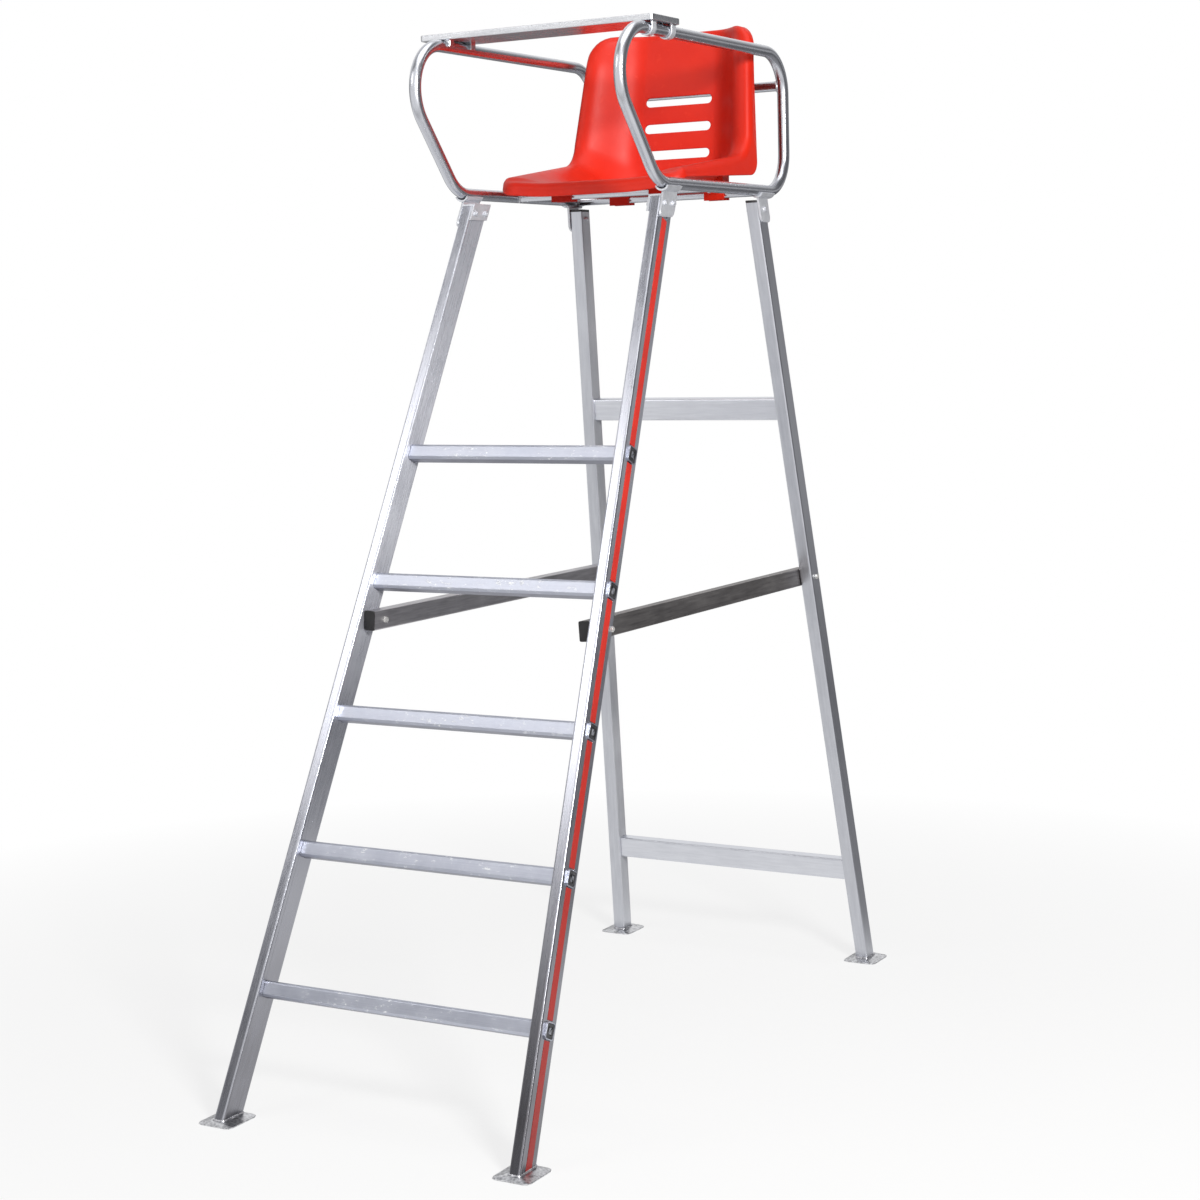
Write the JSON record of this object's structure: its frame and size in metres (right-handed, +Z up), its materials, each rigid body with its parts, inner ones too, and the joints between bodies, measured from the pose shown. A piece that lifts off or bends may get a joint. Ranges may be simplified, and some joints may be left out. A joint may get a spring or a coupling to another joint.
{
  "type": "umpire chair",
  "caption": "Tall aluminium umpire chair with a ladder front, a red moulded bucket seat, tube arm loops and a hinged writing tray",
  "frame": {"origin": "on the floor, at the middle of the footprint of the four foot plates", "axes": "+Z up, the ladder and the open side of the seat face -Y, +X is to the right seen from the ladder side"},
  "size_m": [0.744, 1.641, 2.1502],
  "materials": {
    "stile_aluminium": "satin extruded, clear anodised",
    "rung_aluminium": "satin extruded",
    "tube_aluminium": "satin drawn tube",
    "arm_aluminium": "polished bent tube",
    "tray_aluminium": "bright folded sheet",
    "bracket_steel": "zinc plated plate",
    "foot_steel": "pressed plate, dull",
    "bolt_steel": "zinc plated",
    "red_shell": "moulded, semi-gloss",
    "red_strip": "extruded strip, satin",
    "black_plastic": "moulded, matt"
  },
  "bodies": {
    "frame": {"ladder_stile_left": "stile_aluminium", "stile_strip_left_1": "red_strip", "stile_strip_left_2": "red_strip", "stile_strip_left_3": "red_strip", "stile_strip_left_4": "red_strip", "stile_strip_left_5": "red_strip", "stile_strip_left_6": "red_strip", "rung_plug_left_1": "black_plastic", "rung_plug_left_2": "black_plastic", "rung_plug_left_3": "black_plastic", "rung_plug_left_4": "black_plastic", "rung_plug_left_5": "black_plastic", "rear_leg_cap_left": "black_plastic", "brace_plug_left": "black_plastic", "rear_leg_left": "tube_aluminium", "side_brace_left": "tube_aluminium", "foot_plate_front_left": "foot_steel", "foot_plate_rear_left": "foot_steel", "leg_bracket_front_left": "bracket_steel", "leg_bracket_rear_left": "bracket_steel", "brace_bolt_front_left": "bolt_steel", "brace_bolt_rear_left": "bolt_steel", "arm_loop_left": "arm_aluminium", "ladder_stile_right": "stile_aluminium", "stile_strip_right_1": "red_strip", "stile_strip_right_2": "red_strip", "stile_strip_right_3": "red_strip", "stile_strip_right_4": "red_strip", "stile_strip_right_5": "red_strip", "stile_strip_right_6": "red_strip", "rung_plug_right_1": "black_plastic", "rung_plug_right_2": "black_plastic", "rung_plug_right_3": "black_plastic", "rung_plug_right_4": "black_plastic", "rung_plug_right_5": "black_plastic", "rear_leg_cap_right": "black_plastic", "brace_plug_right": "black_plastic", "rear_leg_right": "tube_aluminium", "side_brace_right": "tube_aluminium", "foot_plate_front_right": "foot_steel", "foot_plate_rear_right": "foot_steel", "leg_bracket_front_right": "bracket_steel", "leg_bracket_rear_right": "bracket_steel", "brace_bolt_front_right": "bolt_steel", "brace_bolt_rear_right": "bolt_steel", "arm_loop_right": "arm_aluminium", "rung_1": "rung_aluminium", "rung_2": "rung_aluminium", "rung_3": "rung_aluminium", "rung_4": "rung_aluminium", "rung_5": "rung_aluminium", "rear_crossbar_upper": "tube_aluminium", "rear_crossbar_lower": "tube_aluminium", "back_rail": "arm_aluminium", "seat_rail_front": "arm_aluminium", "seat_rail_rear": "arm_aluminium", "seat_shell": "red_shell"},
    "tray": {"writing_tray": "tray_aluminium", "tray_strap_front": "tray_aluminium", "tray_strap_rear": "tray_aluminium"}
  },
  "joints": [
    {"name": "tray_hinge", "type": "hinge", "parent": "frame", "child": "tray", "pos_m": [0.24, 0.005, 2.085], "axis": [0, 1, 0], "range_deg": [0, 255]}
  ]
}
